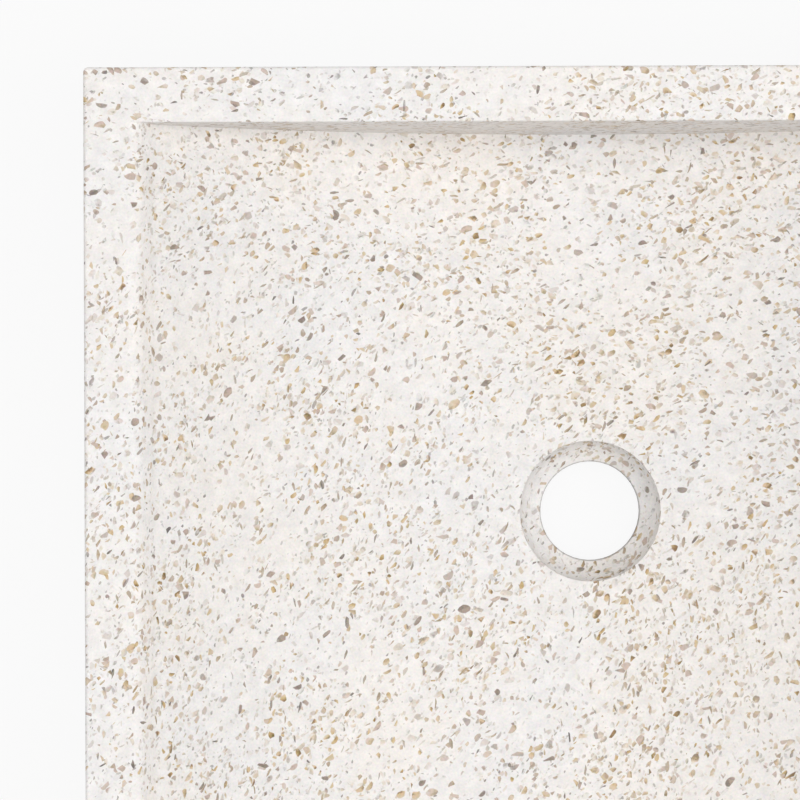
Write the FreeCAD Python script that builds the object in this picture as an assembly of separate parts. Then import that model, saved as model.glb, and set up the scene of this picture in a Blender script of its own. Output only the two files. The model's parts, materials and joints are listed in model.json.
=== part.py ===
import FreeCAD, Part
import math
import os

# Countertop basin cast in terrazzo, in millimetres.
# X runs along the long side, Y from front to back, Z up from the counter.
# The drain axis is the Z axis, and the rubber pads stand on Z = 0.

Vector = FreeCAD.Vector
ALONG_X = Vector(1, 0, 0)
ALONG_Y = Vector(0, 1, 0)
UP = Vector(0, 0, 1)
TINY = 0.01

# Outside of the casting
basin_length = 455.0
basin_width = 400.0
corner_radius = 2.2
rim_edge_radius = 1.5
base_edge_radius = 1.5

# Bowl: a trough curved along X between two drafted walls
end_rim_width = 24.0
side_rim_width = 24.7
bowl_depth = 72.0
lip_drop = 11.5
lip_slope = 58.0
lip_roll_radius = 8.0
lip_foot_radius = 6.0
wall_slope = 86.5
wall_roll_radius = 1.0

# Drain: a bore under a dished seat, in a boss that comes down through the backing
drain_bore_radius = 22.5
bore_edge_radius = 0.6
seat_width = 9.5
seat_depth = 13.0
seat_dish_radius = 18.0
boss_wall = 8.0
boss_lift = 1.0

# Shell: terrazzo floor, mortar backing and the skirt that carries them
face_thickness = 12.0
backing_thickness = 10.0
backing_lift = 3.0
skirt_thickness = 22.0
skirt_draft = 1.5
pocket_corner_radius = 20.0
cove_radius = 4.0

# Steel laid in the backing: long rods under a roof of mortar, cross rods a gap below them
rod_diameter = 2.5
rod_clearance = 0.1
rod_roof = 1.5
rod_gap = 0.6
rod_edge = 18.0
long_rods_per_side = 2
cross_rods_per_end = 3

# Rubber pads under the corners of the skirt
pad_radius = 8.0
pad_standoff = 2.0
pad_recess_depth = 3.0
pad_clearance = 0.2
pad_edge_radius = 0.8

# Worked out from the sizes above
half_length = basin_length / 2
half_width = basin_width / 2
base_z = pad_standoff
backing_z = base_z + backing_lift
floor_z = backing_z + backing_thickness + face_thickness
rim_z = floor_z + bowl_depth
bowl_half_length = half_length - end_rim_width
bowl_half_width = half_width - side_rim_width
pocket_half_length = half_length - skirt_thickness
pocket_half_width = half_width - skirt_thickness
seat_radius = drain_bore_radius + seat_width
boss_radius = seat_radius + boss_wall
boss_z = base_z + boss_lift
rod_radius = rod_diameter / 2
groove_radius = rod_radius + rod_clearance

# The trough is a circle through the floor at the drain and through the foot of both end lips
lip_foot_x = bowl_half_length - lip_drop / math.tan(math.radians(lip_slope))
trough_rise = bowl_depth - lip_drop
trough_radius = (lip_foot_x**2 + trough_rise**2) / (2 * trough_rise)
trough_axis_z = floor_z + trough_radius
joint_radius = trough_radius + face_thickness
backing_radius = joint_radius + backing_thickness
long_rod_radius = joint_radius + rod_roof + rod_radius
cross_rod_radius = long_rod_radius + rod_diameter + rod_gap


def line(start, end):
    """A straight edge."""
    return Part.LineSegment(start, end).toShape()


def face_inside(edges):
    """A flat face inside a closed run of edges, given in order."""
    return Part.Face(Part.Wire(edges))


def across_x(x, z):
    """A point of an outline drawn across X, in the plane of the drain axis."""
    return Vector(x, 0, z)


def across_y(y, z):
    """A point of an outline drawn across Y, in the plane of the drain axis."""
    return Vector(0, y, z)


def upright_edges(shape):
    """The edges of a block or a drafted block that run up it."""
    return [edge for edge in shape.Edges if abs(edge.tangentAt(edge.FirstParameter).z) > 0.9]


def flared_space(place, half_opening, slope, roll_radius, run):
    """The space between two sloping walls whose top edges roll over into the rim."""
    angle = math.radians(slope)
    roll_centre = half_opening + roll_radius * math.tan(angle / 2)
    foot_half = half_opening - bowl_depth / math.tan(angle)
    open_z = rim_z + bowl_depth

    def on_roll(side, turn):
        """A point of the rolled edge, turned from the rim towards the wall."""
        across = roll_centre - roll_radius * math.sin(turn)
        return place(side * across, rim_z - roll_radius + roll_radius * math.cos(turn))

    def wall(side):
        """Edges of one wall, from the open top down to its foot."""
        edge_top = on_roll(side, 0)
        edge_foot = on_roll(side, angle)
        return [
            line(place(side * roll_centre, open_z), edge_top),
            Part.Arc(edge_top, on_roll(side, angle / 2), edge_foot).toShape(),
            line(edge_foot, place(side * foot_half, floor_z)),
        ]

    floor = line(place(-foot_half, floor_z), place(foot_half, floor_z))
    top = line(place(roll_centre, open_z), place(-roll_centre, open_z))
    outline = face_inside(wall(-1) + [floor] + wall(1)[::-1] + [top])
    outline.translate(run * -0.5)
    return outline.extrude(run)


def trough_space(thickness):
    """Everything inside the trough's circle, grown by a thickness."""
    start = Vector(0, -basin_width, trough_axis_z)
    return Part.makeCylinder(trough_radius + thickness, 2 * basin_width, start, ALONG_Y)


def bowl_space():
    """The open inside of the bowl, up past the rim."""
    ends = flared_space(across_x, bowl_half_length, lip_slope, lip_roll_radius, ALONG_Y * 2 * basin_width)
    ends = ends.common(trough_space(0))
    foot_z = rim_z - lip_drop
    level_edges = [edge for edge in ends.Edges if edge.BoundBox.ZLength < TINY]
    lip_feet = [edge for edge in level_edges if abs(edge.CenterOfMass.z - foot_z) < TINY]
    ends = ends.makeFillet(lip_foot_radius, lip_feet)
    walls = flared_space(across_y, bowl_half_width, wall_slope, wall_roll_radius, ALONG_X * 2 * basin_length)
    return ends.common(walls)


def drain_space():
    """The bore, its eased edge and the dished seat above it."""
    open_z = floor_z + seat_depth
    seat_outer = across_x(seat_radius, floor_z)
    seat_inner = across_x(drain_bore_radius, floor_z - seat_depth)
    chord = seat_inner - seat_outer
    sag = seat_dish_radius - math.sqrt(seat_dish_radius**2 - (chord.Length / 2) ** 2)
    downhill = Vector(-chord.z, 0, chord.x).normalize()
    seat_middle = (seat_outer + seat_inner) * 0.5 + downhill * sag
    outline = [
        line(across_x(0, 0), across_x(drain_bore_radius, 0)),
        line(across_x(drain_bore_radius, 0), seat_inner),
        Part.Arc(seat_inner, seat_middle, seat_outer).toShape(),
        line(seat_outer, across_x(seat_radius, open_z)),
        line(across_x(seat_radius, open_z), across_x(0, open_z)),
        line(across_x(0, open_z), across_x(0, 0)),
    ]
    space = face_inside(outline).revolve(Vector(0, 0, 0), UP, 360)
    bore_edges = [edge for edge in space.Edges if abs(edge.BoundBox.ZMax - seat_inner.z) < TINY]
    level_edges = [edge for edge in bore_edges if edge.BoundBox.ZLength < TINY]
    return space.makeFillet(bore_edge_radius, level_edges)


def skirt_space():
    """The drafted space inside the skirt, from below the base up to the rim."""

    def corners(z):
        """The four corners of the space at one height."""
        inset = (z - base_z) * math.tan(math.radians(skirt_draft))
        x = pocket_half_length - inset
        y = pocket_half_width - inset
        return [Vector(-x, -y, z), Vector(x, -y, z), Vector(x, y, z), Vector(-x, y, z)]

    low = corners(base_z - backing_thickness)
    high = corners(rim_z)
    sides = [[low[i - 1], low[i], high[i], high[i - 1]] for i in range(4)]
    faces = [Part.Face(Part.makePolygon(outline + outline[:1])) for outline in [low[::-1], high, *sides]]
    space = Part.Solid(Part.Shell(faces))
    return space.makeFillet(pocket_corner_radius, upright_edges(space))


def shell_space():
    """The space inside the skirt and under the terrazzo floor, with the drain boss standing in it."""
    boss = Part.makeCylinder(boss_radius, floor_z - boss_z, Vector(0, 0, boss_z), UP)
    return skirt_space().cut(trough_space(face_thickness)).cut(boss)


def pocket_space():
    """The hollow under the backing, with a cove where the backing turns down the skirt."""
    pocket = skirt_space().cut(trough_space(face_thickness + backing_thickness))
    roof_edges = [edge for edge in pocket.Edges if edge.BoundBox.ZMin > base_z]
    return pocket.makeFillet(cove_radius, roof_edges)


def mirrored_places(first, last, count):
    """Evenly spaced places from first to last, on both sides of the middle and in order."""
    places = [first + (last - first) * step / (count - 1) for step in range(count)]
    return [-place for place in reversed(places)] + places


def long_rod_paths(radius):
    """Round paths of the rods bent along the trough, running out past both end skirts."""
    half_angle = math.degrees(math.asin(half_length / long_rod_radius))
    places = mirrored_places(boss_radius + rod_edge, pocket_half_width - rod_edge, long_rods_per_side)
    paths = {}
    for number, y in enumerate(places, start=1):
        axis = Vector(0, y, trough_axis_z)
        section = face_inside([Part.makeCircle(radius, axis - UP * long_rod_radius, ALONG_X)])
        section.rotate(axis, ALONG_Y, -half_angle)
        paths[f"long_rod_{number}"] = section.revolve(axis, ALONG_Y, 2 * half_angle)
    return paths


def cross_rod_paths(radius):
    """Round paths of the straight rods under the long ones, running out past the front and back skirts."""
    places = mirrored_places(boss_radius + rod_edge, pocket_half_length - 2 * rod_edge, cross_rods_per_end)
    paths = {}
    for number, x in enumerate(places, start=1):
        start = Vector(x, -half_width, trough_axis_z - math.sqrt(cross_rod_radius**2 - x**2))
        paths[f"cross_rod_{number}"] = Part.makeCylinder(radius, basin_width, start, ALONG_Y)
    return paths


def rod_paths(radius):
    """The paths of all the rods."""
    return {**long_rod_paths(radius), **cross_rod_paths(radius)}


def drain_hoop(radius):
    """Ring round the boss, half in the boss and half in the backing."""
    backing_top = floor_z - face_thickness
    backing_under = trough_axis_z - math.sqrt(backing_radius**2 - boss_radius**2)
    return Part.makeTorus(boss_radius, radius, Vector(0, 0, (backing_top + backing_under) / 2), UP)


def pad_places():
    """Names and centres of the four pads, in the middle of the skirt at each corner."""
    places = {}
    for depth, y_side in (("front", -1), ("back", 1)):
        for hand, x_side in (("left", -1), ("right", 1)):
            x = x_side * (half_length - skirt_thickness / 2)
            y = y_side * (half_width - skirt_thickness / 2)
            places[f"foot_pad_{depth}_{hand}"] = Vector(x, y, 0)
    return places


def foot_pad(place):
    """A rubber disc that fills its recess and stands proud of the base."""
    pad = Part.makeCylinder(pad_radius, pad_standoff + pad_recess_depth, place, UP)
    foot_edges = [edge for edge in pad.Edges if edge.BoundBox.ZMax < pad_standoff]
    return pad.makeFillet(pad_edge_radius, foot_edges)


def outer_block():
    """The outside of the casting, with its corners and edges eased."""
    block = Part.makeBox(basin_length, basin_width, rim_z - base_z, Vector(-half_length, -half_width, base_z))
    block = block.makeFillet(corner_radius, upright_edges(block))
    rim_edges = [edge for edge in block.Edges if edge.BoundBox.ZMin > rim_z - TINY]
    block = block.makeFillet(rim_edge_radius, rim_edges)
    base_edges = [edge for edge in block.Edges if edge.BoundBox.ZMax < base_z + TINY]
    return block.makeFillet(base_edge_radius, base_edges)


def basin_casting():
    """The terrazzo casting, recessed for the pads and grooved for the hoop round its boss."""
    casting = outer_block().cut(bowl_space()).cut(shell_space()).cut(drain_space())
    recess_radius = pad_radius + pad_clearance
    for place in pad_places().values():
        casting = casting.cut(Part.makeCylinder(recess_radius, base_z + pad_recess_depth, place, UP))
    return casting.cut(drain_hoop(groove_radius))


def backing_coat():
    """The mortar coat under the terrazzo floor, trimmed to the base and bored for its steel."""
    corner = Vector(-half_length, -half_width, base_z)
    coat = shell_space().cut(pocket_space()).common(Part.makeBox(basin_length, basin_width, rim_z, corner))
    for path in rod_paths(groove_radius).values():
        coat = coat.cut(path)
    return coat.cut(drain_hoop(groove_radius))


def main():
    """Build every piece and write each to its own file."""
    pieces = {
        "basin_casting": basin_casting(),
        "backing_coat": backing_coat(),
        "drain_hoop": drain_hoop(rod_radius),
        **{name: path.common(skirt_space()) for name, path in rod_paths(rod_radius).items()},
        **{name: foot_pad(place) for name, place in pad_places().items()},
    }
    for name, shape in pieces.items():
        shape.Solids[0].exportStep(os.path.join("parts", f"{name}.step"))
        print(name, len(shape.Solids), shape.isValid(), round(shape.Volume / 1000, 2), "cm3")


os.makedirs("parts", exist_ok=True)
main()
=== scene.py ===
import json
import logging
import math
from collections.abc import Sequence
from dataclasses import dataclass
from enum import Enum
from typing import ClassVar

import bpy
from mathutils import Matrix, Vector


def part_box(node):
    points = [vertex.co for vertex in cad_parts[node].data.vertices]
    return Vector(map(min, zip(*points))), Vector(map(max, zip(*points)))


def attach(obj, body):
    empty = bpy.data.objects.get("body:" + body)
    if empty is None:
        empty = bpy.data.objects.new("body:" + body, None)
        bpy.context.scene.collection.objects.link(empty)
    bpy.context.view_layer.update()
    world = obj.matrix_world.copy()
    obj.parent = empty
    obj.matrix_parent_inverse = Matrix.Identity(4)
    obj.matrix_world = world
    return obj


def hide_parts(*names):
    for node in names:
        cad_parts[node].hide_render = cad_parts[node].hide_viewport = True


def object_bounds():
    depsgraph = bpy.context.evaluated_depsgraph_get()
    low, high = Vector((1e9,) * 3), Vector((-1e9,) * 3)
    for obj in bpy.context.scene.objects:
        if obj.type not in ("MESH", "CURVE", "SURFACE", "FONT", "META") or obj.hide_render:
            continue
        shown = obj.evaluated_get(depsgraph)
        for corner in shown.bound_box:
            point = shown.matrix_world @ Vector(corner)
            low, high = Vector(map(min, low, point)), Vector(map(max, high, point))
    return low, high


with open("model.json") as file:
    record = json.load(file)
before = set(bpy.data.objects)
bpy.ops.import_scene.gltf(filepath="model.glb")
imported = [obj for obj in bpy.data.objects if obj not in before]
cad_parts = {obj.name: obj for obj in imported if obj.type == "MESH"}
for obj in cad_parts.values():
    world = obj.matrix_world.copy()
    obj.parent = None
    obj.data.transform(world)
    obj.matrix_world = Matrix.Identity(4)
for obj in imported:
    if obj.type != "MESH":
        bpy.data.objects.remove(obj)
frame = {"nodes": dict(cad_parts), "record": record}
cad_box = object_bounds()

log = logging.getLogger("basin")

Colour = tuple[float, float, float, float]
Socket = bpy.types.NodeSocket
Feed = Socket | float | Sequence[float]
Feeds = dict[str | int, Feed]

MM = 0.001
BODY = "root"
WHITE: Colour = (1.0, 1.0, 1.0, 1.0)
BLACK: Colour = (0.0, 0.0, 0.0, 1.0)
NOISE_MIDDLE = 0.5


def paint(red: int, green: int, blue: int) -> Colour:
    """Turns a colour as a screen shows it into the linear values that a shader takes.

    Args:
        red: Red on the screen, from 0 to 255.
        green: Green on the screen, from 0 to 255.
        blue: Blue on the screen, from 0 to 255.

    Returns:
        The linear colour, opaque.
    """

    def linear(level: int) -> float:
        """One channel made linear."""
        share = level / 255
        return share / 12.92 if share <= 0.04045 else ((share + 0.055) / 1.055) ** 2.4

    return linear(red), linear(green), linear(blue), 1.0


class Wiring:
    """Adds nodes to one node tree and links them."""

    def __init__(self, tree: bpy.types.NodeTree) -> None:
        """Takes the tree to fill."""
        self.tree = tree

    def feed(self, socket: Socket, value: Feed) -> None:
        """Links a socket to another one, or sets its value.

        Args:
            socket: The input to feed.
            value: A socket, or a plain value.
        """
        if isinstance(value, Socket):
            self.tree.links.new(value, socket)
        else:
            socket.default_value = value

    def node(self, kind: str, feeds: Feeds | None = None, **settings: object) -> bpy.types.Node:
        """Adds one node.

        Args:
            kind: The node's type.
            feeds: What goes into its inputs, by name or number.
            settings: Properties of the node.

        Returns:
            The new node.
        """
        made = self.tree.nodes.new(kind)
        for name, setting in settings.items():
            setattr(made, name, setting)
        for key, value in (feeds or {}).items():
            self.feed(made.inputs[key], value)
        return made

    def maths(self, operation: str, *values: Feed, clamp: bool = False) -> Socket:
        """Adds a Math node.

        Args:
            operation: What it works out.
            values: Its inputs in order.
            clamp: True to keep the result between 0 and 1.

        Returns:
            The result.
        """
        made = self.node("ShaderNodeMath", dict(enumerate(values)), operation=operation, use_clamp=clamp)
        return made.outputs[0]

    def vector(self, operation: str, *values: Feed) -> Socket:
        """Adds a Vector Math node that gives a vector.

        Args:
            operation: What it works out.
            values: Its inputs in order.

        Returns:
            The resulting vector.
        """
        made = self.node("ShaderNodeVectorMath", dict(enumerate(values)), operation=operation)
        return made.outputs["Vector"]

    def scaled(self, vector: Feed, factor: Feed) -> Socket:
        """A vector times a number."""
        made = self.node("ShaderNodeVectorMath", {0: vector, "Scale": factor}, operation="SCALE")
        return made.outputs["Vector"]

    def dot(self, first: Feed, second: Feed) -> Socket:
        """The dot product of two vectors."""
        made = self.node("ShaderNodeVectorMath", {0: first, 1: second}, operation="DOT_PRODUCT")
        return made.outputs["Value"]

    def length(self, vector: Feed) -> Socket:
        """The length of a vector."""
        return self.node("ShaderNodeVectorMath", {0: vector}, operation="LENGTH").outputs["Value"]

    def point(self, x: Feed = 0.0, y: Feed = 0.0, z: Feed = 0.0) -> Socket:
        """A vector put together from its three values."""
        return self.node("ShaderNodeCombineXYZ", {0: x, 1: y, 2: z}).outputs["Vector"]

    def grey(self, level: Feed) -> Socket:
        """A grey of one level."""
        return self.node("ShaderNodeCombineColor", {0: level, 1: level, 2: level}).outputs["Color"]

    def spread(self, value: Feed, low: Feed, high: Feed, start: Feed = 0.0, end: Feed = 1.0) -> Socket:
        """Maps a value smoothly from one range to another.

        Args:
            value: What is mapped.
            low: Where the result is start.
            high: Where the result is end.
            start: Result at and below low.
            end: Result at and above high.

        Returns:
            The mapped value.
        """
        feeds = {"Value": value, "From Min": low, "From Max": high, "To Min": start, "To Max": end}
        return self.node("ShaderNodeMapRange", feeds, interpolation_type="SMOOTHSTEP").outputs["Result"]

    def mix(self, factor: Feed, first: Feed, second: Feed, mode: str = "MIX") -> Socket:
        """Mixes two colours.

        Args:
            factor: Share of the second colour.
            first: Colour at 0.
            second: Colour at 1.
            mode: How they mix.

        Returns:
            The mixed colour.
        """
        feeds = {0: factor, 6: first, 7: second}
        return self.node("ShaderNodeMix", feeds, data_type="RGBA", blend_type=mode).outputs[2]

    def ramp(self, factor: Feed, stops: Sequence[tuple[float, Colour]]) -> Socket:
        """Adds a colour ramp.

        Args:
            factor: Where on the ramp.
            stops: Places and colours, in order.

        Returns:
            The colour.
        """
        made = self.node("ShaderNodeValToRGB", {0: factor})
        elements = made.color_ramp.elements
        while len(elements) < len(stops):
            elements.new(1.0)
        for element, (place, colour) in zip(elements, stops):
            element.position = place
            element.color = colour
        return made.outputs["Color"]

    def noise(self, place: Feed, per_metre: float, detail: float = 2.0) -> bpy.types.Node:
        """Adds a noise texture.

        Args:
            place: Where it is read.
            per_metre: How many of its features lie in a metre.
            detail: How many finer layers it has.

        Returns:
            The noise node.
        """
        return self.node("ShaderNodeTexNoise", {"Vector": place, "Scale": per_metre, "Detail": detail})

    def centred(self, colour: Feed) -> Socket:
        """A random colour as a vector round 0."""
        return self.vector("SUBTRACT", colour, (NOISE_MIDDLE,) * 3)

    def bump(self, height: Feed, strength: float, depth: float) -> Socket:
        """Adds a Bump node.

        Args:
            height: What stands up.
            strength: How strongly it shows.
            depth: How far it stands up, in millimetres.

        Returns:
            The bumped normal.
        """
        feeds = {"Strength": strength, "Distance": depth * MM, "Height": height}
        return self.node("ShaderNodeBump", feeds).outputs["Normal"]


class ChipGroup:
    """The node group that scatters angular stone chips through a solid.

    Attributes:
        NAME: The group's name.
        FACETS: How many flat faces cut each chip.
        THROW_STEP: Shift from one throw of random values to the next.
        GROWTH: Least and greatest size of a chip, against a middling one.
        FACET_REACH: Least and greatest distance of a facet from the chip's middle, against its radius.
        CROWDS_PER_METRE: How many crowded and bare patches lie in a metre.
        CROWD_RANGE: Values of the noise at which a patch is barest and most crowded.
    """

    NAME = "stone_chips"
    FACETS = 4
    THROW_STEP = (3.1, 1.7, 2.3)
    GROWTH = (0.62, 1.3)
    FACET_REACH = (0.15, 0.8)
    CROWDS_PER_METRE = 24.0
    CROWD_RANGE = (0.36, 0.62)

    @classmethod
    def tree(cls) -> bpy.types.NodeTree:
        """Gives the group's tree and builds it the first time.

        Returns:
            The shared node tree.
        """
        return bpy.data.node_groups.get(cls.NAME) or cls._build()

    @classmethod
    def _build(cls) -> bpy.types.NodeTree:
        """Builds the group.

        Returns:
            The new node tree.
        """
        tree = bpy.data.node_groups.new(cls.NAME, "ShaderNodeTree")
        tree.interface.new_socket("Place", in_out="INPUT", socket_type="NodeSocketVector")
        tree.interface.new_socket("Lean", in_out="INPUT", socket_type="NodeSocketVector")
        for name in ("Spacing", "Share", "Crowding", "Size", "Squeeze", "Softness", "Seed"):
            tree.interface.new_socket(name, in_out="INPUT", socket_type="NodeSocketFloat")
        for name in ("Mask", "Tone", "Shade", "Strength"):
            tree.interface.new_socket(name, in_out="OUTPUT", socket_type="NodeSocketFloat")
        wiring = Wiring(tree)
        given = wiring.node("NodeGroupInput").outputs

        inverse = wiring.maths("DIVIDE", 1.0, given["Spacing"])
        place = wiring.vector("ADD", wiring.scaled(given["Place"], inverse), given["Seed"])
        cell = wiring.node("ShaderNodeTexVoronoi", {"Vector": place, "Scale": 1.0, "Randomness": 1.0})
        offset = wiring.vector("SUBTRACT", place, cell.outputs["Position"])

        def dice(number: int) -> bpy.types.Node:
            """A fresh throw of random values for each chip."""
            shift = tuple(step * number for step in cls.THROW_STEP)
            seed = wiring.vector("ADD", cell.outputs["Color"], shift)
            return wiring.node("ShaderNodeTexWhiteNoise", {"Vector": seed}, noise_dimensions="3D")

        def direction(throw: bpy.types.Node) -> Socket:
            """A random direction, not yet of length 1."""
            return wiring.centred(throw.outputs["Color"])

        first = dice(1)
        axis = wiring.vector("NORMALIZE", wiring.vector("ADD", direction(first), given["Lean"]))
        along = wiring.dot(offset, axis)
        pull = wiring.maths("MULTIPLY", along, wiring.maths("SUBTRACT", given["Squeeze"], 1.0))
        offset = wiring.vector("ADD", offset, wiring.scaled(axis, pull))

        second = dice(2)
        growth = wiring.spread(first.outputs["Value"], 0.0, 1.0, *cls.GROWTH)
        radius = wiring.maths("MULTIPLY", given["Size"], growth)
        field = wiring.maths("SUBTRACT", wiring.length(offset), radius)
        shade = None
        for number in range(cls.FACETS):
            throw = dice(3 + number)
            facing = wiring.vector("NORMALIZE", direction(throw))
            reach = wiring.dot(offset, facing)
            limit = wiring.spread(throw.outputs["Value"], 0.0, 1.0, *cls.FACET_REACH)
            past = wiring.maths("SUBTRACT", reach, wiring.maths("MULTIPLY", radius, limit))
            field = wiring.maths("MAXIMUM", field, past)
            shade = shade or wiring.maths("DIVIDE", reach, radius)

        fully_inside = wiring.maths("MULTIPLY", given["Softness"], -1.0)
        inside = wiring.spread(field, given["Softness"], fully_inside)
        home = wiring.vector("SUBTRACT", cell.outputs["Position"], given["Seed"])
        crowd = wiring.noise(wiring.scaled(home, given["Spacing"]), cls.CROWDS_PER_METRE).outputs["Fac"]
        fewest = wiring.maths("SUBTRACT", 1.0, given["Crowding"])
        most = wiring.maths("ADD", 1.0, given["Crowding"])
        crowded = wiring.spread(crowd, *cls.CROWD_RANGE, fewest, most)
        share = wiring.maths("MULTIPLY", given["Share"], crowded)
        here = wiring.maths("LESS_THAN", second.outputs["Value"], share)
        tone, strength, _ = wiring.node("ShaderNodeSeparateColor", {0: second.outputs["Color"]}).outputs
        mask = wiring.maths("MULTIPLY", inside, here)
        gives = {"Mask": mask, "Tone": tone, "Shade": shade, "Strength": strength}
        wiring.node("NodeGroupOutput", gives)
        return tree


@dataclass(frozen=True)
class Chips:
    """One kind of chip in a mix, in millimetres.

    Attributes:
        spacing: Mean distance from chip to chip.
        share: Share of the places that hold a chip.
        crowding: How unevenly the chips are spread, from 0 for evenly.
        size: Radius of a middling chip before its facets are cut.
        squeeze: Over 1 for flat chips, under 1 for long ones.
        softness: Width of a chip's blurred edge.
        seed: Shifts the scatter.
        faintest: Cover of the faintest chips.
        tones: Colours from one end of the mix to the other.
        VEINS_PER_METRE: How many veins lie in a metre of stone.
        VEINING: How far the veins shift a chip's shade.
        TINTING: How far the shade shifts a chip's colour.
        DARK_SIDE: Shades at which darkening starts and ends.
        DARKEST: Level that the dark side keeps.
        THIN_SIDE: Shades at which the binder stops showing through, from the thin side on.
        SOLID_FROM: Strength from which a chip hides what lies under it.
    """

    spacing: float
    share: float
    crowding: float
    size: float
    squeeze: float
    softness: float
    seed: float
    faintest: float
    tones: tuple[tuple[float, Colour], ...]

    VEINS_PER_METRE: ClassVar[float] = 600.0
    VEINING: ClassVar[float] = 1.8
    TINTING: ClassVar[float] = 0.28
    DARK_SIDE: ClassVar[tuple[float, float]] = (-0.1, 0.7)
    DARKEST: ClassVar[float] = 0.64
    THIN_SIDE: ClassVar[tuple[float, float]] = (-1.0, -0.1)
    SOLID_FROM: ClassVar[float] = 0.8

    def lay(
        self, wiring: Wiring, place: Feed, under: Feed, drift: Feed = 0.0, lean: Feed = (0.0, 0.0, 0.0)
    ) -> tuple[Socket, Socket]:
        """Lays these chips over a colour.

        Args:
            wiring: The material's wiring.
            place: Where the chips are read.
            under: Colour that the chips lie in.
            drift: Value round 0 that shifts the choice of colour from place to place.
            lean: Direction that the flat or long axis favours, longer where it favours it more.

        Returns:
            The new colour and the chips' cover.
        """
        feeds = {
            "Place": place,
            "Lean": lean,
            "Spacing": self.spacing * MM,
            "Share": self.share,
            "Crowding": self.crowding,
            "Size": self.size / self.spacing,
            "Squeeze": self.squeeze,
            "Softness": self.softness / self.spacing,
            "Seed": self.seed,
        }
        chips = wiring.node("ShaderNodeGroup", feeds, node_tree=ChipGroup.tree())
        mask, tone, shade, strength = chips.outputs
        vein = wiring.noise(place, self.VEINS_PER_METRE).outputs["Fac"]
        vein = wiring.maths("SUBTRACT", vein, NOISE_MIDDLE)
        shade = wiring.maths("MULTIPLY_ADD", vein, self.VEINING, shade)
        blend = wiring.maths("MULTIPLY_ADD", shade, self.TINTING, drift)
        colour = wiring.ramp(wiring.maths("ADD", tone, blend, clamp=True), self.tones)
        darker = wiring.spread(shade, *self.DARK_SIDE, 1.0, self.DARKEST)
        colour = wiring.mix(1.0, colour, wiring.grey(darker), "MULTIPLY")
        solid = wiring.spread(strength, 0.0, self.SOLID_FROM, self.faintest, 1.0)
        thinning = wiring.spread(shade, *self.THIN_SIDE, strength, 1.0)
        cover = wiring.maths("MULTIPLY", wiring.maths("MULTIPLY", mask, solid), thinning)
        return wiring.mix(cover, under, colour), cover


@dataclass(frozen=True)
class Sweep:
    """The way that the mix was swept into the mould, which its chips lie along.

    Attributes:
        front: Direction at the front, in degrees from the basin's length.
        back: Direction at the back, in degrees.
        turn_start: Where the direction starts to turn, in metres back from the drain.
        turn_end: Where it has turned, in metres back from the drain.
        slant: How far the turn comes forward for each metre to the right.
        wander: How many wanders of the direction lie in a metre.
        stray: How far it wanders, in radians.
        pull: How strongly the chips follow it.
    """

    front: float = 57.0
    back: float = -12.0
    turn_start: float = 0.0
    turn_end: float = 0.09
    slant: float = 0.45
    wander: float = 9.0
    stray: float = 0.8
    pull: float = 0.5

    def leans(self, wiring: Wiring, place: Feed) -> tuple[Socket, Socket]:
        """Works out the directions of the sweep at a place.

        Args:
            wiring: The material's wiring.
            place: Object coordinates.

        Returns:
            The lean along the sweep and the lean across it.
        """
        maths = wiring.maths
        x, y, _ = wiring.node("ShaderNodeSeparateXYZ", {0: place}).outputs
        behind = maths("MULTIPLY_ADD", x, self.slant, y)
        front, back = math.radians(self.front), math.radians(self.back)
        angle = wiring.spread(behind, self.turn_start, self.turn_end, front, back)
        straying = wiring.noise(place, self.wander, detail=0.0).outputs["Fac"]
        straying = maths("SUBTRACT", straying, NOISE_MIDDLE)
        angle = maths("MULTIPLY_ADD", straying, self.stray, angle)
        to_right = maths("MULTIPLY", maths("COSINE", angle), self.pull)
        to_back = maths("MULTIPLY", maths("SINE", angle), self.pull)
        return wiring.point(to_right, to_back), wiring.point(to_back, maths("MULTIPLY", to_right, -1.0))


def new_material(name: str) -> tuple[bpy.types.Material, Wiring, bpy.types.Node]:
    """Makes a node material with one Principled shader.

    Args:
        name: The material's name.

    Returns:
        The material, its wiring and its shader.
    """
    material = bpy.data.materials.new(name)
    material.use_nodes = True
    shader = material.node_tree.nodes["Principled BSDF"]
    return material, Wiring(material.node_tree), shader


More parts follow.
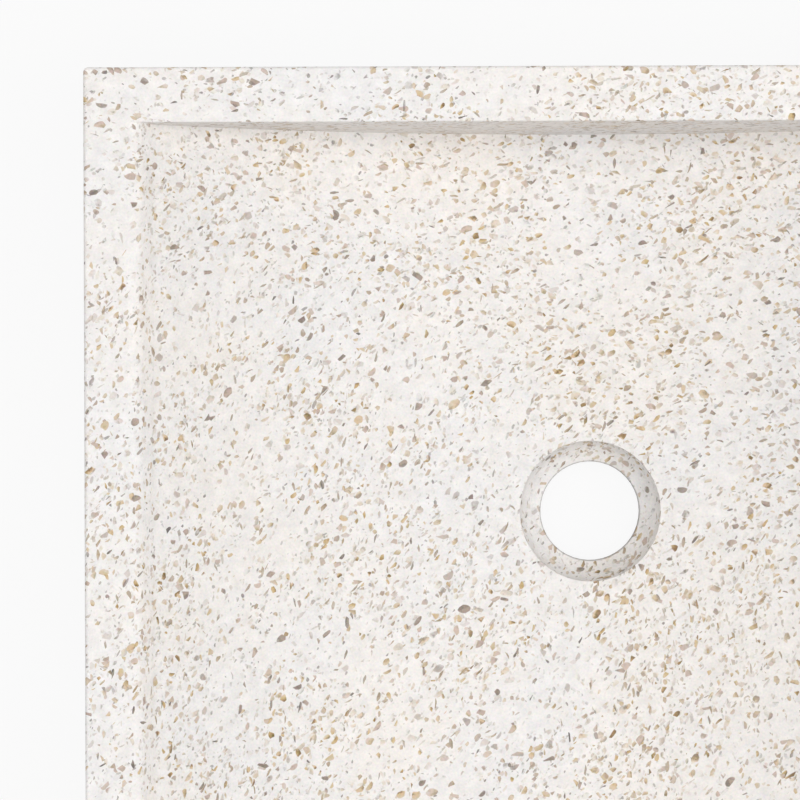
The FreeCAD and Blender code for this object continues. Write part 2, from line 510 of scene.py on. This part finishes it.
@dataclass(frozen=True)
class BowlPaintedShade:
    """Painted shade in the bowl: the colour darkens where shade would fall.

    Darkest along the foot of the long walls, up the ends of the trough and in the bore.

    Attributes:
        half_length: Half the length of the trough's floor, in metres.
        lip_margin: Width over which the painted shade fades out at the end lips, in metres.
        half_width: Half the bowl's width at the rim, in metres.
        rim: Height of the rim, in metres.
        floor: Height of the floor at the drain, in metres.
        trough_radius: Radius that the floor curves to, in metres.
        draft: How far a long wall leans out for each metre up.
        reach: Width of the margin of painted shade on the floor, for each metre of wall above it.
        climb: How slowly the painted shade fades up the wall, against along the floor.
        bowl: Painted shade all over the bowl.
        foot: Painted shade at a wall's foot.
        ends: Further painted shade at both ends of the trough.
        ends_from: Where the further painted shade starts, as a share of half the length.
        bore_radius: Radius of the drain bore, in metres.
        bore_margin: Width of the ring of painted shade round the bore, in metres.
        bore: Painted shade in the bore.
    """

    half_length: float = 0.199
    lip_margin: float = 0.004
    half_width: float = 0.1753
    rim: float = 0.099
    floor: float = 0.027
    trough_radius: float = 0.3488
    draft: float = 0.0612
    reach: float = 0.14
    climb: float = 0.2
    bowl: float = 0.043
    foot: float = 0.122
    ends: float = 0.025
    ends_from: float = 0.4
    bore_radius: float = 0.0225
    bore_margin: float = 0.0008
    bore: float = 0.42

    def painted_shade(self, wiring: Wiring, place: Feed) -> Socket:
        """Works out how much painted shade falls at a place.

        Args:
            wiring: The material's wiring.
            place: Object coordinates.

        Returns:
            The painted shade, from 0 to 1.
        """
        maths = wiring.maths
        x, y, z = wiring.node("ShaderNodeSeparateXYZ", {0: place}).outputs
        along = maths("ABSOLUTE", x)
        past_wall = maths("SUBTRACT", maths("ABSOLUTE", y), self.half_width)
        inside = wiring.spread(along, self.half_length - self.lip_margin, self.half_length, 1.0, 0.0)
        inside = maths("MULTIPLY", inside, maths("LESS_THAN", past_wall, 0.0))
        drop = maths("SQRT", maths("SUBTRACT", self.trough_radius**2, maths("MULTIPLY", x, x)))
        bottom = maths("SUBTRACT", self.floor + self.trough_radius, drop)
        above = maths("MAXIMUM", maths("SUBTRACT", z, bottom), 0.0)
        lean = maths("MULTIPLY", maths("SUBTRACT", self.rim, z), self.draft)
        climbed = maths("MULTIPLY", above, self.climb)
        away = wiring.length(wiring.point(maths("ADD", past_wall, lean), 0.0, climbed))
        margin = maths("MULTIPLY", maths("SUBTRACT", self.rim, bottom), self.reach)
        # Painted shade: darkest at a long wall's foot, fading to the bowl's level across the floor and
        # up the wall.
        painted_shade = wiring.spread(maths("DIVIDE", away, margin), 0.0, 1.0, self.foot, self.bowl)
        # Further painted shade up both ends of the trough.
        ends_from = self.ends_from * self.half_length
        painted_shade = maths("ADD", painted_shade, wiring.spread(along, ends_from, self.half_length, 0.0, self.ends))
        # Painted shade in the bore and in a thin ring round it.
        out = wiring.length(wiring.point(x, y))
        ring = wiring.spread(out, self.bore_radius, self.bore_radius + self.bore_margin, self.bore, 0.0)
        return maths("MAXIMUM", maths("MULTIPLY", painted_shade, inside), ring)


@dataclass(frozen=True)
class TerrazzoFinish:
    """White terrazzo with tan, grey and rose chips, ground and honed to a satin face.

    Patches, clouds, specks and nicks are counted per metre.

    Attributes:
        cool_binder: The binder where it is coolest.
        warm_binder: The binder where it is warmest.
        warm_range: Values of the tint at which the binder is coolest and warmest.
        broad_patches: Count of broad patches of tint.
        small_patches: Count of small patches of tint.
        small_share: Share of the small patches in the tint.
        drift_middle: Value of the broad patches at which the chips keep their colours.
        drift: How far the broad patches shift the chips' colours.
        clouds: Count of clouds in the binder.
        clouding: Strength of the clouds.
        specks: Count of specks of grain.
        specking: Strength of the specks in level.
        specking_colour: Strength of the specks in colour.
        nicks: Count of nicks along a chip's edge.
        nick_depth: Depth of the nicks, in millimetres.
        roughness: Roughness of the binder.
        roughness_swing: How far the grain shifts the roughness each way.
        grain_range: Values of the grain at which it is smoothest and roughest.
        chip_polish: How much smoother a chip is than the binder.
        gloss: Specular level.
        grain_strength: How strongly the grain stands up.
        grain_depth: How far the grain stands up, in millimetres.
        painted_bowl_shade: Painted shade in the bowl.
        sweep: Direction that the chips lie along.
    """

    cool_binder: Colour = paint(236, 234, 233)
    warm_binder: Colour = paint(240, 235, 230)
    warm_range: tuple[float, float] = (0.32, 0.68)
    broad_patches: float = 16.0
    small_patches: float = 120.0
    small_share: float = 0.4
    drift_middle: float = 0.46
    drift: float = 0.8
    clouds: float = 170.0
    clouding: float = 0.12
    specks: float = 900.0
    specking: float = 0.07
    specking_colour: float = 0.06
    nicks: float = 420.0
    nick_depth: float = 0.3
    roughness: float = 0.62
    roughness_swing: float = 0.06
    grain_range: tuple[float, float] = (0.3, 0.7)
    chip_polish: float = 0.12
    gloss: float = 0.3
    grain_strength: float = 0.08
    grain_depth: float = 0.2
    painted_bowl_shade: BowlPaintedShade = BowlPaintedShade()
    sweep: Sweep = Sweep()

    def chips(self) -> tuple[Chips, ...]:
        """The kinds of chip in the mix, in the order that they are laid."""
        pale = (
            (0.0, paint(226, 224, 222)),
            (0.5, paint(232, 228, 220)),
            (1.0, paint(224, 214, 200)),
        )
        faint = (
            (0.0, paint(210, 208, 206)),
            (0.5, paint(220, 211, 202)),
            (1.0, paint(206, 197, 182)),
        )
        grey = (
            (0.0, paint(144, 138, 134)),
            (0.2, paint(182, 176, 172)),
            (0.6, paint(199, 193, 187)),
            (1.0, paint(188, 172, 148)),
        )
        taupe = (
            (0.0, paint(110, 102, 96)),
            (0.15, paint(166, 154, 143)),
            (0.6, paint(187, 170, 149)),
            (1.0, paint(168, 144, 108)),
        )
        warm = (
            (0.0, paint(174, 156, 140)),
            (0.2, paint(203, 184, 162)),
            (0.4, paint(214, 194, 165)),
            (0.6, paint(207, 182, 140)),
            (0.8, paint(192, 164, 116)),
            (1.0, paint(154, 127, 86)),
        )
        mixed = (
            (0.0, paint(138, 125, 114)),
            (0.12, paint(178, 160, 147)),
            (0.35, paint(209, 189, 177)),
            (0.6, paint(204, 186, 153)),
            (0.85, paint(215, 187, 150)),
            (1.0, paint(154, 127, 88)),
        )
        return (
            Chips(
                spacing=4.6, share=0.85, crowding=0.3, size=1.8, squeeze=1.6,
                softness=0.25, seed=11.3, faintest=0.2, tones=pale,
            ),
            Chips(
                spacing=2.9, share=0.86, crowding=0.4, size=1.1, squeeze=1.7,
                softness=0.2, seed=17.7, faintest=0.2, tones=faint,
            ),
            Chips(
                spacing=3.0, share=0.64, crowding=0.4, size=0.94, squeeze=1.8,
                softness=0.16, seed=23.9, faintest=0.25, tones=grey,
            ),
            Chips(
                spacing=4.15, share=0.79, crowding=0.42, size=1.76, squeeze=1.8,
                softness=0.16, seed=37.1, faintest=0.3, tones=warm,
            ),
            Chips(
                spacing=4.55, share=0.77, crowding=0.42, size=1.5, squeeze=0.62,
                softness=0.16, seed=53.7, faintest=0.35, tones=mixed,
            ),
            Chips(
                spacing=5.4, share=0.72, crowding=0.4, size=2.16, squeeze=3.6,
                softness=0.16, seed=71.3, faintest=0.35, tones=taupe,
            ),
        )

    def binder(self, wiring: Wiring, place: Feed) -> tuple[Socket, Socket]:
        """Colours the cement between the chips.

        Args:
            wiring: The material's wiring.
            place: Object coordinates.

        Returns:
            The binder's colour and the drift of the chips' colours, round 0.
        """
        broad = wiring.noise(place, self.broad_patches).outputs["Fac"]
        drift = wiring.maths("MULTIPLY", wiring.maths("SUBTRACT", broad, self.drift_middle), self.drift)
        small = wiring.noise(place, self.small_patches, detail=3.0).outputs["Fac"]
        change = wiring.maths("SUBTRACT", small, broad)
        tint = wiring.maths("MULTIPLY_ADD", change, self.small_share, broad)
        colour = wiring.mix(wiring.spread(tint, *self.warm_range), self.cool_binder, self.warm_binder)
        cloud = wiring.noise(place, self.clouds, detail=4.0).outputs["Fac"]
        return wiring.mix(self.clouding, colour, cloud, "LINEAR_LIGHT"), drift

    def build(self) -> bpy.types.Material:
        """Builds the material.

        Returns:
            The terrazzo.
        """
        material, wiring, shader = new_material("terrazzo")
        place = wiring.node("ShaderNodeTexCoord").outputs["Object"]
        colour, drift = self.binder(wiring, place)
        ragged = wiring.centred(wiring.noise(place, self.nicks).outputs["Color"])
        bent = wiring.vector("ADD", place, wiring.scaled(ragged, self.nick_depth * MM))
        along, across = self.sweep.leans(wiring, place)
        cover = None
        for chips in self.chips():
            lean = across if chips.squeeze > 1 else along
            colour, laid = chips.lay(wiring, bent, colour, drift, lean)
            cover = laid if cover is None else wiring.maths("MAXIMUM", cover, laid)
        speckle = wiring.noise(place, self.specks)
        grain = speckle.outputs["Fac"]
        colour = wiring.mix(self.specking, colour, grain, "LINEAR_LIGHT")
        colour = wiring.mix(self.specking_colour, colour, speckle.outputs["Color"], "LINEAR_LIGHT")
        # Painted shade in the bowl: the colour is mixed towards black.
        colour = wiring.mix(self.painted_bowl_shade.painted_shade(wiring, place), colour, BLACK)
        wiring.feed(shader.inputs["Base Color"], colour)
        shader.inputs["Specular IOR Level"].default_value = self.gloss
        smooth, coarse = self.roughness - self.roughness_swing, self.roughness + self.roughness_swing
        rough = wiring.spread(grain, *self.grain_range, smooth, coarse)
        rough = wiring.maths("MULTIPLY_ADD", cover, -self.chip_polish, rough)
        wiring.feed(shader.inputs["Roughness"], rough)
        wiring.feed(shader.inputs["Normal"], wiring.bump(grain, self.grain_strength, self.grain_depth))
        return material


@dataclass(frozen=True)
class MortarFinish:
    """Sandy grey mortar, laid on with a trowel.

    Clouds and trowel strokes are counted per metre.

    Attributes:
        body: Colour of the dry mortar.
        damp: Darker colour of damp patches and strokes.
        clouds: Count of damp patches.
        cloud_range: Values of the noise at which a patch is dry and damp.
        strokes: Count of strokes across their length.
        stroke_turn: Direction of the strokes, in radians.
        stroke_stretch: How much finer the strokes are across than along.
        stroke_range: Values of the noise at which a stroke starts and is darkest.
        stroke_share: Share of the damp colour in the darkest stroke.
        roughness: Roughness of middling mortar.
        smoother: How much smoother a dry patch is.
        rougher: How much rougher a damp patch is.
        rough_range: Values of the noise at which the mortar is smoothest and roughest.
        sand_height: Height of a grain of sand, against a stroke.
        pit_depth: Depth of a pit, against a stroke.
        relief_strength: How strongly the relief shows.
        relief_depth: How far it stands up, in millimetres.
    """

    body: Colour = paint(196, 192, 184)
    damp: Colour = paint(172, 167, 158)
    clouds: float = 28.0
    cloud_range: tuple[float, float] = (0.3, 0.7)
    strokes: float = 150.0
    stroke_turn: float = 0.4
    stroke_stretch: float = 0.16
    stroke_range: tuple[float, float] = (0.45, 0.7)
    stroke_share: float = 0.4
    roughness: float = 0.9
    smoother: float = 0.1
    rougher: float = 0.07
    rough_range: tuple[float, float] = (0.2, 0.8)
    sand_height: float = 0.25
    pit_depth: float = 0.8
    relief_strength: float = 0.7
    relief_depth: float = 1.0

    def sand(self) -> Chips:
        """The grains of sand in the mortar."""
        tones = (
            (0.0, paint(118, 110, 100)),
            (0.5, paint(178, 168, 148)),
            (1.0, paint(224, 218, 206)),
        )
        return Chips(
            spacing=1.7, share=0.9, crowding=0.1, size=0.65, squeeze=1.1,
            softness=0.08, seed=5.3, faintest=0.3, tones=tones,
        )

    def pits_with_painted_shade(self) -> Chips:
        """The air holes in the mortar's face, dark with painted shade."""
        tones = (
            (0.0, paint(84, 79, 72)),
            (1.0, paint(112, 106, 97)),
        )
        return Chips(
            spacing=7.5, share=0.6, crowding=0.3, size=0.75, squeeze=1.0,
            softness=0.1, seed=9.1, faintest=0.7, tones=tones,
        )

    def build(self) -> bpy.types.Material:
        """Builds the material.

        Returns:
            The mortar.
        """
        material, wiring, shader = new_material("mortar")
        place = wiring.node("ShaderNodeTexCoord").outputs["Object"]
        cloud = wiring.noise(place, self.clouds, detail=4.0).outputs["Fac"]
        colour = wiring.mix(wiring.spread(cloud, *self.cloud_range), self.body, self.damp)
        turned = {
            "Vector": place,
            "Rotation": (0.0, 0.0, self.stroke_turn),
            "Scale": (1.0, self.stroke_stretch, 1.0),
        }
        stroke = wiring.node("ShaderNodeMapping", turned).outputs["Vector"]
        swept = wiring.noise(stroke, self.strokes, detail=4.0).outputs["Fac"]
        dark = wiring.spread(swept, *self.stroke_range, 0.0, self.stroke_share)
        colour = wiring.mix(dark, colour, self.damp)
        colour, grains = self.sand().lay(wiring, place, colour)
        # Air holes: a bump gives their depth, and their dark colour is painted shade.
        colour, holes = self.pits_with_painted_shade().lay(wiring, place, colour)
        wiring.feed(shader.inputs["Base Color"], colour)
        smooth, coarse = self.roughness - self.smoother, self.roughness + self.rougher
        wiring.feed(shader.inputs["Roughness"], wiring.spread(cloud, *self.rough_range, smooth, coarse))
        height = wiring.maths("MULTIPLY_ADD", grains, self.sand_height, swept)
        height = wiring.maths("MULTIPLY_ADD", holes, -self.pit_depth, height)
        relief = wiring.bump(height, self.relief_strength, self.relief_depth)
        wiring.feed(shader.inputs["Normal"], relief)
        return material


@dataclass(frozen=True)
class SteelFinish:
    """Galvanised rod with a dull spangle.

    Attributes:
        bright: Colour of the brightest crystals.
        dull: Colour of the dullest crystals.
        spangles: Count of zinc crystals in a metre.
        roughness: Roughness of the zinc.
        smoother: How much smoother the brightest crystals are.
        rougher: How much rougher the dullest crystals are.
        marks: Count of drawing marks in a metre.
        mark_strength: How strongly the marks show.
        mark_depth: How far they stand up, in millimetres.
    """

    bright: Colour = paint(196, 198, 200)
    dull: Colour = paint(158, 161, 164)
    spangles: float = 700.0
    roughness: float = 0.42
    smoother: float = 0.08
    rougher: float = 0.14
    marks: float = 1600.0
    mark_strength: float = 0.2
    mark_depth: float = 0.05

    def build(self) -> bpy.types.Material:
        """Builds the material.

        Returns:
            The galvanised steel.
        """
        material, wiring, shader = new_material("galvanised_rod")
        place = wiring.node("ShaderNodeTexCoord").outputs["Object"]
        crystals = wiring.node("ShaderNodeTexVoronoi", {"Vector": place, "Scale": self.spangles})
        share = wiring.node("ShaderNodeSeparateColor", {0: crystals.outputs["Color"]}).outputs[0]
        wiring.feed(shader.inputs["Base Color"], wiring.mix(share, self.bright, self.dull))
        shader.inputs["Metallic"].default_value = 1.0
        smooth, coarse = self.roughness - self.smoother, self.roughness + self.rougher
        wiring.feed(shader.inputs["Roughness"], wiring.spread(share, 0.0, 1.0, smooth, coarse))
        drawn = wiring.noise(place, self.marks).outputs["Fac"]
        wiring.feed(shader.inputs["Normal"], wiring.bump(drawn, self.mark_strength, self.mark_depth))
        return material


@dataclass(frozen=True)
class RubberFinish:
    """Moulded black rubber with a little dust on it.

    Attributes:
        rubber: Colour of the clean rubber.
        dust: Colour of the dust.
        specks: Count of specks in a metre.
        dust_range: Values of the noise at which dust starts and is thickest.
        roughness: Roughness of middling rubber.
        roughness_swing: How far the specks shift the roughness each way.
        rough_range: Values of the noise at which the rubber is smoothest and roughest.
        grain_strength: How strongly the specks show.
        grain_depth: How far they stand up, in millimetres.
    """

    rubber: Colour = paint(46, 46, 47)
    dust: Colour = paint(92, 90, 87)
    specks: float = 900.0
    dust_range: tuple[float, float] = (0.5, 0.8)
    roughness: float = 0.78
    roughness_swing: float = 0.1
    rough_range: tuple[float, float] = (0.3, 0.7)
    grain_strength: float = 0.25
    grain_depth: float = 0.08

    def build(self) -> bpy.types.Material:
        """Builds the material.

        Returns:
            The rubber.
        """
        material, wiring, shader = new_material("moulded_rubber")
        place = wiring.node("ShaderNodeTexCoord").outputs["Object"]
        specks = wiring.noise(place, self.specks, detail=4.0).outputs["Fac"]
        dusty = wiring.spread(specks, *self.dust_range)
        wiring.feed(shader.inputs["Base Color"], wiring.mix(dusty, self.rubber, self.dust))
        smooth, coarse = self.roughness - self.roughness_swing, self.roughness + self.roughness_swing
        wiring.feed(shader.inputs["Roughness"], wiring.spread(specks, *self.rough_range, smooth, coarse))
        wiring.feed(shader.inputs["Normal"], wiring.bump(specks, self.grain_strength, self.grain_depth))
        return material


@dataclass(frozen=True)
class FloorFinish:
    """Plain white floor that shows as one white, with a faint shadow.

    Attributes:
        shown: Level that the floor shows by itself.
        shadow_share: Level that the light adds where no shadow falls.
        lit: Colour by which the floor lights the basin.
    """

    shown: float = 0.912
    shadow_share: float = 0.05
    lit: Colour = (0.8, 0.8, 0.8, 1.0)

    def build(self) -> bpy.types.Material:
        """Builds the material.

        Returns:
            The floor.
        """
        material = bpy.data.materials.new("white_floor")
        material.use_nodes = True
        tree = material.node_tree
        tree.nodes.clear()
        wiring = Wiring(tree)
        ray = wiring.node("ShaderNodeLightPath").outputs
        seen = wiring.maths("MAXIMUM", ray["Is Camera Ray"], ray["Is Glossy Ray"])
        seen = wiring.maths("MAXIMUM", seen, ray["Is Transmission Ray"])
        plain = wiring.node("ShaderNodeBsdfDiffuse", {"Color": self.lit})
        faint = wiring.node("ShaderNodeBsdfDiffuse", {"Color": (self.shadow_share,) * 3 + (1.0,)})
        glow = wiring.node("ShaderNodeEmission", {"Color": WHITE, "Strength": self.shown})
        white = wiring.node("ShaderNodeAddShader", {0: faint.outputs[0], 1: glow.outputs[0]})
        both = wiring.node("ShaderNodeMixShader", {0: seen, 1: plain.outputs[0], 2: white.outputs[0]})
        wiring.node("ShaderNodeOutputMaterial", {"Surface": both.outputs[0]})
        return material


class Finishes(Enum):
    """The record's material slots and the finish that each one gets."""

    TERRAZZO = ("terrazzo", TerrazzoFinish())
    MORTAR = ("mortar", MortarFinish())
    STEEL = ("steel_rod", SteelFinish())
    RUBBER = ("rubber_pad", RubberFinish())

    @property
    def slot(self) -> str:
        """The slot's name in the record."""
        return self.value[0]

    def nodes(self) -> list[str]:
        """The names of the nodes in this slot."""
        subparts = frame["record"]["subparts"]
        return [part["node"] for part in subparts if part["material_slot"] == self.slot]

    def dress(self) -> bpy.types.Material:
        """Puts this finish on every node in the slot.

        Returns:
            The finish's material.
        """
        material = self.value[1].build()
        for name in self.nodes():
            mesh = frame["nodes"][name].data
            mesh.materials.clear()
            mesh.materials.append(material)
            log.info("dressed %s in %s", name, self.slot)
        return material


@dataclass
class FootPads:
    """Rubber pads let into the base, turned with grip rings underneath, in millimetres.

    Attributes:
        hub_radius: Radius of the flat hollow in the middle of the foot.
        first_ring: Inner radius of the first grip ring.
        ring_depth: Depth of the grooves between the rings.
        ring_width: Width of a ring with one sloping side, half of the way from ring to ring.
        land: Share of that width that touches the ground.
        groove_end: Where a groove's flat bottom ends, in ring widths from the ring's start.
        edge_radius: Radius of the rounded edge of the foot.
        edge_turns: Angles of the rounded edge's points, in degrees.
        top_chamfer: Chamfer of the top edge.
        steps: Count of steps round the pad.
        weld: Distance under which points are merged.
        crease: Angle over which an edge stays sharp, in degrees.
    """

    hub_radius: float = 0.9
    first_ring: float = 1.4
    ring_depth: float = 0.5
    ring_width: float = 1.1
    land: float = 0.7
    groove_end: float = 1.6
    edge_radius: float = 0.8
    edge_turns: tuple[float, ...] = (0.0, 30.0, 60.0, 90.0)
    top_chamfer: float = 0.3
    steps: int = 48
    weld: float = 0.02
    crease: float = 40.0

    def profile(self, radius: float, height: float) -> list[tuple[float, float]]:
        """The turned outline of a pad, from the middle of its foot round to the middle of its top.

        Args:
            radius: Radius of the pad.
            height: Height of the pad.

        Returns:
            Distances from the axis and heights.
        """
        points = [(0.0, self.ring_depth), (self.hub_radius, self.ring_depth)]
        out = self.first_ring
        while out + 2 * self.ring_width < radius - self.edge_radius:
            points.append((out, 0.0))
            points.append((out + self.land * self.ring_width, 0.0))
            points.append((out + self.ring_width, self.ring_depth))
            points.append((out + self.groove_end * self.ring_width, self.ring_depth))
            out += 2 * self.ring_width
        points.append((out, 0.0))
        for turn in self.edge_turns:
            angle = math.radians(turn)
            across = radius - self.edge_radius + self.edge_radius * math.sin(angle)
            points.append((across, self.edge_radius - self.edge_radius * math.cos(angle)))
        points.append((radius, height - self.top_chamfer))
        points.append((radius - self.top_chamfer, height))
        points.append((0.0, height))
        return points

    def turn(self, name: str) -> bpy.types.Object:
        """Turns one pad in the place of its solid.

        Args:
            name: The pad's node.

        Returns:
            The finished pad.
        """
        low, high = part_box(name)
        middle = (low + high) / 2
        points = self.profile((high.x - low.x) / 2 / MM, (high.z - low.z) / MM)
        bpy.ops.object.select_all(action="DESELECT")
        start = (middle.x, middle.y, low.z + points[0][1] * MM)
        bpy.ops.mesh.primitive_plane_add(size=MM, location=start)
        pad = bpy.context.active_object
        pad.name = f"{name}_turned"
        bpy.ops.object.mode_set(mode="EDIT")
        bpy.ops.mesh.merge(type="CENTER")
        for (across, up), (next_across, next_up) in zip(points, points[1:]):
            step = ((next_across - across) * MM, 0.0, (next_up - up) * MM)
            bpy.ops.mesh.extrude_region_move(TRANSFORM_OT_translate={"value": step})
        bpy.ops.mesh.select_all(action="SELECT")
        bpy.ops.mesh.spin(steps=self.steps, angle=2 * math.pi, center=middle, axis=(0.0, 0.0, 1.0))
        bpy.ops.mesh.select_all(action="SELECT")
        bpy.ops.mesh.remove_doubles(threshold=self.weld * MM)
        bpy.ops.mesh.normals_make_consistent(inside=False)
        bpy.ops.object.mode_set(mode="OBJECT")
        bpy.ops.object.transform_apply(location=True, rotation=True, scale=True)
        bpy.ops.object.shade_smooth_by_angle(angle=math.radians(self.crease))
        return pad

    def build(self, rubber: bpy.types.Material) -> None:
        """Turns every pad and puts it in the place of its node.

        Args:
            rubber: The pads' material.
        """
        for name in Finishes.RUBBER.nodes():
            pad = self.turn(name)
            pad.data.materials.append(rubber)
            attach(pad, BODY)
            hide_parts(name)
            log.info("turned %s, %d faces", pad.name, len(pad.data.polygons))


@dataclass(frozen=True)
class Softbox:
    """A round softbox that looks at the drain.

    Attributes:
        name: The softbox's name.
        power: Power, in watts.
        size: Diameter, in metres.
        place: Where it hangs, in metres.
    """

    name: str
    power: float
    size: float
    place: tuple[float, float, float]

    def hang(self) -> None:
        """Adds the softbox, unseen by the camera."""
        lamp = bpy.data.lights.new(self.name, "AREA")
        lamp.energy = self.power
        lamp.shape = "DISK"
        lamp.size = self.size
        softbox = bpy.data.objects.new(self.name, lamp)
        softbox.location = self.place
        softbox.rotation_euler = (-Vector(self.place)).to_track_quat("-Z", "Y").to_euler()
        softbox.visible_camera = False
        bpy.context.scene.collection.objects.link(softbox)


@dataclass
class Studio:
    """Floor, soft light and a camera straight above, in metres.

    Attributes:
        camera_x: The camera's place along the basin's length, from the drain.
        camera_y: The camera's place along the basin's width, from the drain.
        camera_height: The camera's height over the rim.
        frame_width: Width that the picture takes in at the rim.
        roll: How far the picture is turned clockwise, in degrees.
        sensor: Width of the camera's sensor, in millimetres.
        far_clip: Distance to which the camera sees.
        floor_size: Length of the floor's sides.
        sky: Strength of the sky's light on the basin.
        backdrop: Strength of the sky as the camera and reflections see it.
        softboxes: The lamps.
    """

    camera_x: float = -0.0862
    camera_y: float = 0.0507
    camera_height: float = 4.9
    frame_width: float = 0.3579
    roll: float = 0.19
    sensor: float = 36.0
    far_clip: float = 100.0
    floor_size: float = 40.0
    sky: float = 0.455
    backdrop: float = 0.956
    softboxes: tuple[Softbox, ...] = (
        Softbox("overhead_softbox", power=158.2, size=5.0, place=(0.0, 0.0, 5.5)),
        Softbox("side_softbox", power=51.4, size=1.75, place=(3.4, -0.65, 3.5)),
    )

    def floor(self) -> None:
        """Lays a wide white floor under the pads."""
        bpy.ops.object.select_all(action="DESELECT")
        bpy.ops.mesh.primitive_plane_add(size=self.floor_size)
        ground = bpy.context.active_object
        ground.name = "floor"
        ground.data.materials.append(FloorFinish().build())

    def light(self) -> None:
        """Lights the basin by a plain sky, a wide softbox overhead and a smaller one to its right."""
        world = bpy.data.worlds.new("plain_sky")
        bpy.context.scene.world = world
        world.use_nodes = True
        world.node_tree.nodes.clear()
        wiring = Wiring(world.node_tree)
        ray = wiring.node("ShaderNodeLightPath").outputs
        seen = wiring.maths("MAXIMUM", ray["Is Camera Ray"], ray["Is Glossy Ray"])
        seen = wiring.maths("MAXIMUM", seen, ray["Is Transmission Ray"])
        strength = wiring.maths("MULTIPLY_ADD", seen, self.backdrop - self.sky, self.sky)
        sky = wiring.node("ShaderNodeBackground", {"Color": WHITE, "Strength": strength})
        wiring.node("ShaderNodeOutputWorld", {"Surface": sky.outputs[0]})
        for softbox in self.softboxes:
            softbox.hang()

    def camera(self) -> None:
        """Hangs the camera straight above the back left of the basin."""
        top = cad_box[1].z
        lens = bpy.data.cameras.new("overhead")
        lens.sensor_width = self.sensor
        lens.lens = self.sensor * self.camera_height / self.frame_width
        lens.clip_end = self.far_clip
        overhead = bpy.data.objects.new("overhead", lens)
        overhead.location = (self.camera_x, self.camera_y, top + self.camera_height)
        overhead.rotation_euler = (0.0, 0.0, math.radians(-self.roll))
        bpy.context.scene.collection.objects.link(overhead)
        bpy.context.scene.camera = overhead

    def build(self) -> None:
        """Sets the floor, the light, the camera and the view."""
        self.floor()
        self.light()
        self.camera()
        bpy.context.scene.view_settings.view_transform = "Standard"


def main() -> None:
    """Dresses every node, adds the turned pads and sets the studio."""
    logging.basicConfig(level=logging.INFO, format="%(message)s")
    made = {finish: finish.dress() for finish in Finishes}
    FootPads().build(made[Finishes.RUBBER])
    Studio().build()


if __name__ == "__main__":
    main()
